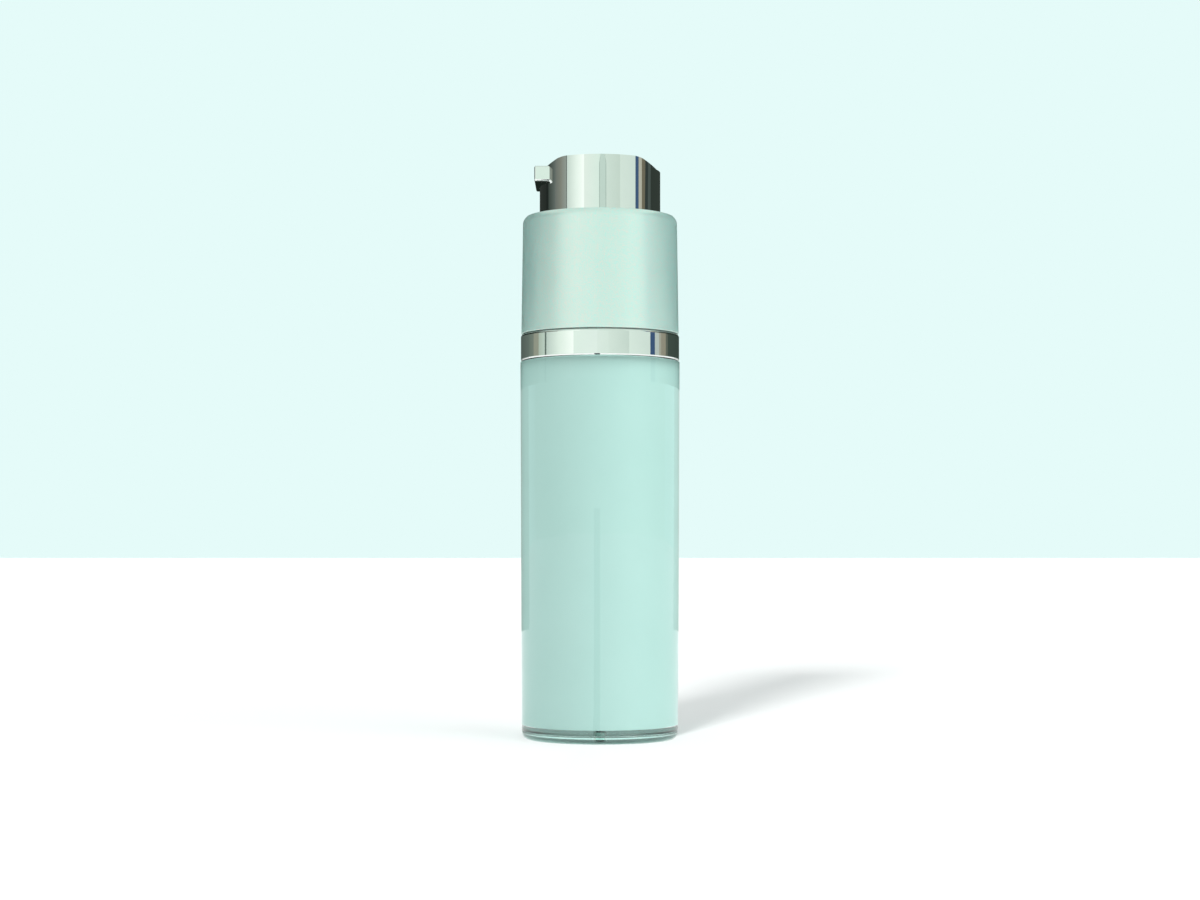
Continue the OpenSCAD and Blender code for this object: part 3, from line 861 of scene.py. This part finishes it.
# %% [markdown]
# The stage is a pale floor and a pale mint wall far behind it. The wall and the sky show their own
# colour to the camera, to mirrors and to glass, while the lamps alone light the bottle.

# %% Floor and wall
def plane(name, corners, material, faces=None):
    """A stage piece through the given corners, in metres."""
    mesh = bpy.data.meshes.new(name)
    mesh.from_pydata(corners, [], faces or [tuple(range(len(corners)))])
    piece = bpy.data.objects.new(name, mesh)
    bpy.context.scene.collection.objects.link(piece)
    mesh.materials.append(material)
    return piece


def seen_colour(material, colour):
    """Shows a fixed colour to camera, mirror and glass rays, and the shader to the rest."""
    nodes, links = material.node_tree.nodes, material.node_tree.links
    shader = nodes["Principled BSDF"]
    glow = nodes.new("ShaderNodeEmission")
    glow.inputs["Color"].default_value = colour
    path = nodes.new("ShaderNodeLightPath")
    mix = nodes.new("ShaderNodeMixShader")
    mirrored = larger(material, path.outputs["Is Glossy Ray"], path.outputs["Is Transmission Ray"])
    links.new(larger(material, path.outputs["Is Camera Ray"], mirrored), mix.inputs["Fac"])
    links.new(shader.outputs[0], mix.inputs[1])
    links.new(glow.outputs[0], mix.inputs[2])
    links.new(mix.outputs[0], nodes["Material Output"].inputs["Surface"])


floor_material, floor_shader, _ = new_material("pale_floor")
floor_shader.inputs["Base Color"].default_value = (0.8, 0.8, 0.8, 1)
floor_shader.inputs["Roughness"].default_value = 0.8
floor_shader.inputs["Specular IOR Level"].default_value = 0.2
WALL_Y, WALL_TOP = 6.8, 8
FLOOR_HALF = 20
floor = plane(
    "floor",
    [(-FLOOR_HALF, -FLOOR_HALF, 0), (FLOOR_HALF, -FLOOR_HALF, 0),
     (FLOOR_HALF, FLOOR_HALF, 0), (-FLOOR_HALF, FLOOR_HALF, 0)],
    floor_material,
)
wall_material, wall_shader, _ = new_material("mint_wall")
wall_colour = linear(229, 251, 249)
wall_shader.inputs["Base Color"].default_value = wall_colour
seen_colour(wall_material, wall_colour)
plane(
    "wall",
    [(-FLOOR_HALF, WALL_Y, 0), (FLOOR_HALF, WALL_Y, 0),
     (FLOOR_HALF, WALL_Y, WALL_TOP), (-FLOOR_HALF, WALL_Y, WALL_TOP)],
    wall_material,
)
print("the wall stands", WALL_Y, "m behind the bottle")

# %% [markdown]
# Bright plating shows the room more than itself. In the picture the front of the room is bright
# and its sides are dark, with a slim blue thing on the right. Rows of cards stand round the bottle
# like the flats of a photographer. The ring mirrors the middle row, the head the tall upper row,
# and the clear wall the low one. The camera can't see the cards, and they cast no shadow.

# %% Helpers for the cards
CARD_DISTANCE = 0.6
PLATING_LOSS = 0.88
CARD_COLUMNS = 9


def around(azimuth, height, distance=CARD_DISTANCE):
    """A point beside the bottle: azimuth in degrees from the camera, positive to the right."""
    angle = math.radians(azimuth)
    return (distance * math.sin(angle), -distance * math.cos(angle), height)


def hide_from_all_but_mirrors(card):
    """Only glossy rays meet the card."""
    card.visible_camera = False
    card.visible_diffuse = False
    card.visible_transmission = False
    card.visible_shadow = False


def card_material():
    """Shows each card's own tone, a little brighter to make up for what the plating swallows."""
    material = bpy.data.materials.new("card_tones")
    material.use_nodes = True
    nodes, links = material.node_tree.nodes, material.node_tree.links
    tone = nodes.new("ShaderNodeVertexColor")
    tone.layer_name = "tone"
    glow = nodes.new("ShaderNodeEmission")
    glow.inputs["Strength"].default_value = 1 / PLATING_LOSS
    links.new(tone.outputs["Color"], glow.inputs["Color"])
    links.new(glow.outputs[0], nodes["Material Output"].inputs["Surface"])
    return material


CARD_TONES = card_material()


def toned_card(name, corners, tones, faces=None):
    """A card with a tone at each corner, seen by mirrors only."""
    card = plane(name, corners, CARD_TONES, faces)
    layer = card.data.color_attributes.new("tone", "FLOAT_COLOR", "POINT")
    for point, tone in zip(layer.data, tones):
        point.color = tone
    hide_from_all_but_mirrors(card)


def add_card(name, start, end, first, last, low, high, distance=CARD_DISTANCE):
    """A curved upright card between two azimuths. Its tone runs from first to last."""
    steps = [k / (CARD_COLUMNS - 1) for k in range(CARD_COLUMNS)]
    corners, tones = [], []
    for height in (low, high):
        for t in steps:
            corners.append(around(start + (end - start) * t, height, distance))
            tones.append(linear(*(a + (b - a) * t for a, b in zip(first, last))))
    faces = [
        (k, k + 1, k + 1 + CARD_COLUMNS, k + CARD_COLUMNS) for k in range(CARD_COLUMNS - 1)
    ]
    toned_card(name, corners, tones, faces)


def add_row(name, low, high, parts):
    """A row of cards from left to right, each as start, end, first tone and last tone."""
    for number, (start, end, first, last) in enumerate(parts, 1):
        add_card(f"{name}_card_{number}", start, end, first, last, low, high)
    print(name, "has", len(parts), "cards")


# %% [markdown]
# The bands on a plated head are the edges of what stands round it. So each card is one band: its
# two azimuths are where the band starts and ends, and its tone may drift between them. The camera
# lies lower than the head, so the mirrored view goes upwards, and this row stands high.

# %% The cards that the head shows
HEAD_ROW = (0.165, 0.6)
add_row("head_left", *HEAD_ROW, [
    (-178, -123, (51, 56, 52), (38, 43, 40)),
    (-123, -115, (30, 36, 33), (34, 40, 37)),
    (-115, -94, (58, 67, 62), (97, 106, 101)),
    (-94, -78, (104, 110, 105), (128, 131, 120)),
    (-78, -66.5, (129, 133, 124), (143, 152, 145)),
    (-66.5, -65, (84, 92, 88), (84, 92, 88)),
    (-65, -45, (197, 212, 203), (230, 243, 234)),
    (-45, -30, (230, 243, 234), (248, 256, 250)),
])
add_row("head_right", *HEAD_ROW, [
    (-30, 0, (223, 235, 226), (214, 233, 222)),
    (0, 38, (207, 224, 214), (195, 212, 201)),
    (38, 70, (209, 225, 215), (204, 220, 211)),
    (70, 78, (64, 88, 118), (64, 88, 118)),
    (78, 86, (174, 174, 159), (174, 174, 159)),
    (86, 94.5, (109, 105, 88), (105, 102, 86)),
    (94.5, 103, (49, 58, 55), (49, 58, 55)),
    (103, 112, (72, 82, 78), (72, 82, 78)),
    (112, 178, (48, 56, 51), (50, 58, 53)),
])

# %% [markdown]
# The ring lies lower, so it shows a lower part of the room. Its bands are a little different from
# the head's, and a row of their own lets them be set one by one.

# %% The cards that the ring shows
RING_ROW = (0.118, 0.165)
add_row("ring_left", *RING_ROW, [
    (-178, -124, (68, 78, 74), (96, 108, 101)),
    (-124, -111, (100, 113, 104), (116, 126, 116)),
    (-111, -99, (141, 145, 130), (145, 149, 134)),
    (-99, -86, (168, 183, 169), (185, 203, 192)),
    (-86, -83, (92, 106, 99), (92, 106, 99)),
    (-83, -60, (184, 201, 192), (222, 237, 226)),
    (-60, -38, (222, 237, 226), (247, 256, 249)),
])
add_row("ring_right", *RING_ROW, [
    (-38, -4, (221, 237, 227), (222, 236, 228)),
    (-4, 12, (217, 232, 223), (213, 229, 219)),
    (12, 42, (210, 226, 216), (196, 213, 203)),
    (42, 76.8, (213, 229, 219), (204, 220, 211)),
    (76.8, 85.5, (61, 84, 117), (61, 84, 117)),
    (85.5, 94, (178, 190, 184), (178, 188, 182)),
    (94, 98.5, (160, 162, 148), (158, 160, 146)),
    (98.5, 109.5, (142, 139, 124), (140, 137, 120)),
    (109.5, 115, (93, 100, 90), (91, 98, 88)),
    (115, 178, (62, 74, 67), (52, 64, 58)),
])

# %% [markdown]
# Near its edges the clear tube mirrors the low part of the room. Two broad cards there keep the
# edges from turning white. The front has none, because the cup's own mint shows best by itself.

# %% The cards that only the clear wall shows
LOW_ROW = (-0.02, 0.118)
add_row("low", *LOW_ROW, [
    (-178, -125, (130, 140, 135), (150, 160, 155)),
    (135, 178, (180, 190, 185), (175, 185, 180)),
])

# %% [markdown]
# The underside of the spout looks down past the collar, and what it meets there is dark. A real
# studio would put a strip of black card close behind the bottle, and so does this one.

# %% The dark cards close behind the head
NEAR_ROW = (0.0955, 0.1235)
NEAR_DISTANCE = 0.06
NEAR_FIRST, NEAR_LAST = (34, 40, 36), (24, 32, 28)
for side in (-1, 1):
    add_card(
        "near_card", side * 100, side * 180, NEAR_FIRST, NEAR_LAST, *NEAR_ROW, NEAR_DISTANCE
    )
print("near cards stand", NEAR_DISTANCE, "m from the axis")

# %% [markdown]
# The dim streak low on the clear wall is the mirror image of something narrow and dark that stood
# on the table before the bottle. A thin wedge on the floor, seen by mirrors only, draws it. The
# faint double line on the head comes from a slim grey card with a pointed top.

# %% The dark wedge on the floor
WEDGE_LEFT, WEDGE_RIGHT, WEDGE_TOP = -8.4, 0.0, 0.055
WEDGE_NEAR, WEDGE_FAR = 0.03, 0.5
ON_FLOOR = 0.0005
WEDGE_TONE = linear(20, 40, 50)
toned_card(
    "dark_wedge",
    [around(WEDGE_LEFT, ON_FLOOR, WEDGE_NEAR), around(WEDGE_RIGHT, ON_FLOOR, WEDGE_NEAR),
     around(WEDGE_RIGHT, ON_FLOOR, WEDGE_FAR), around(WEDGE_RIGHT, WEDGE_TOP, WEDGE_FAR),
     around(WEDGE_LEFT, WEDGE_TOP, WEDGE_FAR), around(WEDGE_LEFT, ON_FLOOR, WEDGE_FAR)],
    [WEDGE_TONE] * 6,
    [(0, 1, 2, 5), (2, 3, 4, 5)],
)
print("the wedge spans", WEDGE_RIGHT - WEDGE_LEFT, "degrees")

# %% [markdown]
# The slim card on the head is drawn twice: a grey one in front, and a darker one behind that looks
# out by a hair all round and so makes the double line.

# %% The slim card with a pointed top
SLIM_LOW, SLIM_SHOULDER, SLIM_TIP = 0.17, 0.221, 0.229
SLIM_LEFT, SLIM_RIGHT, SLIM_RIM = -0.5, 10.5, 1.0


def slim_card(name, left, right, rise, tone, distance):
    """An upright strip that ends in a low point, like a house front."""
    middle = (left + right) / 2
    corners = [
        around(left, SLIM_LOW, distance), around(right, SLIM_LOW, distance),
        around(right, SLIM_SHOULDER + rise, distance), around(middle, SLIM_TIP + rise, distance),
        around(left, SLIM_SHOULDER + rise, distance),
    ]
    toned_card(name, corners, [linear(*tone)] * 5)


slim_card("slim_card", SLIM_LEFT, SLIM_RIGHT, 0, (190, 210, 200), 0.57)
slim_card(
    "slim_card_rim", SLIM_LEFT - SLIM_RIM, SLIM_RIGHT + SLIM_RIM, 0.0015, (150, 170, 160), 0.58
)
print("the slim card spans", SLIM_RIGHT - SLIM_LEFT, "degrees")

# %% [markdown]
# The light is plain: an even pale sky, two broad soft lamps from the front, and one smaller lamp
# from the front left that only the floor receives. It draws the soft shadow to the back right
# without making one side of the bottle too bright. Mirrors see the cards, not the lamps.

# %% Sky
SKY_LEVEL = 0.68
world = bpy.data.worlds.new("pale_sky")
world.use_nodes = True
bpy.context.scene.world = world
world_nodes, world_links = world.node_tree.nodes, world.node_tree.links
even_sky = world_nodes["Background"]
even_sky.inputs["Color"].default_value = (1, 1, 1, 1)
even_sky.inputs["Strength"].default_value = SKY_LEVEL
mirror_sky = world_nodes.new("ShaderNodeBackground")
mirror_sky.inputs["Color"].default_value = (0.70, 0.82, 0.75, 1)
mirror_sky.inputs["Strength"].default_value = 1.0
sky_path = world_nodes.new("ShaderNodeLightPath")
sky_mix = world_nodes.new("ShaderNodeMixShader")
mirrored_sky = larger(
    world, sky_path.outputs["Is Glossy Ray"], sky_path.outputs["Is Transmission Ray"]
)
world_links.new(mirrored_sky, sky_mix.inputs["Fac"])
world_links.new(even_sky.outputs[0], sky_mix.inputs[1])
world_links.new(mirror_sky.outputs[0], sky_mix.inputs[2])
world_links.new(sky_mix.outputs[0], world_nodes["World Output"].inputs["Surface"])
print("sky level:", SKY_LEVEL)

# %% Lamps
def add_lamp(name, azimuth, elevation, spread, level):
    """A far soft lamp: its spread in degrees, its level as a white surface facing it shows."""
    data = bpy.data.lights.new(name, "SUN")
    data.angle = math.radians(spread)
    data.energy = level * math.pi
    lamp = bpy.data.objects.new(name, data)
    side, up = math.radians(azimuth), math.radians(elevation)
    away = Vector((math.sin(side) * math.cos(up), -math.cos(side) * math.cos(up), math.sin(up)))
    lamp.location = away
    lamp.rotation_euler = away.to_track_quat("Z", "Y").to_euler()
    lamp.visible_glossy = False
    bpy.context.scene.collection.objects.link(lamp)
    print(name, "shines at level", level)
    return lamp


add_lamp("right_lamp", 50, 24, 50, 0.36)
add_lamp("left_lamp", -40, 24, 60, 0.06)
shadow_lamp = add_lamp("shadow_lamp", -16, 24, 9, 1.15)
floor_only = bpy.data.collections.new("floor_only")
floor_only.objects.link(floor)
shadow_lamp.light_linking.receiver_collection = floor_only
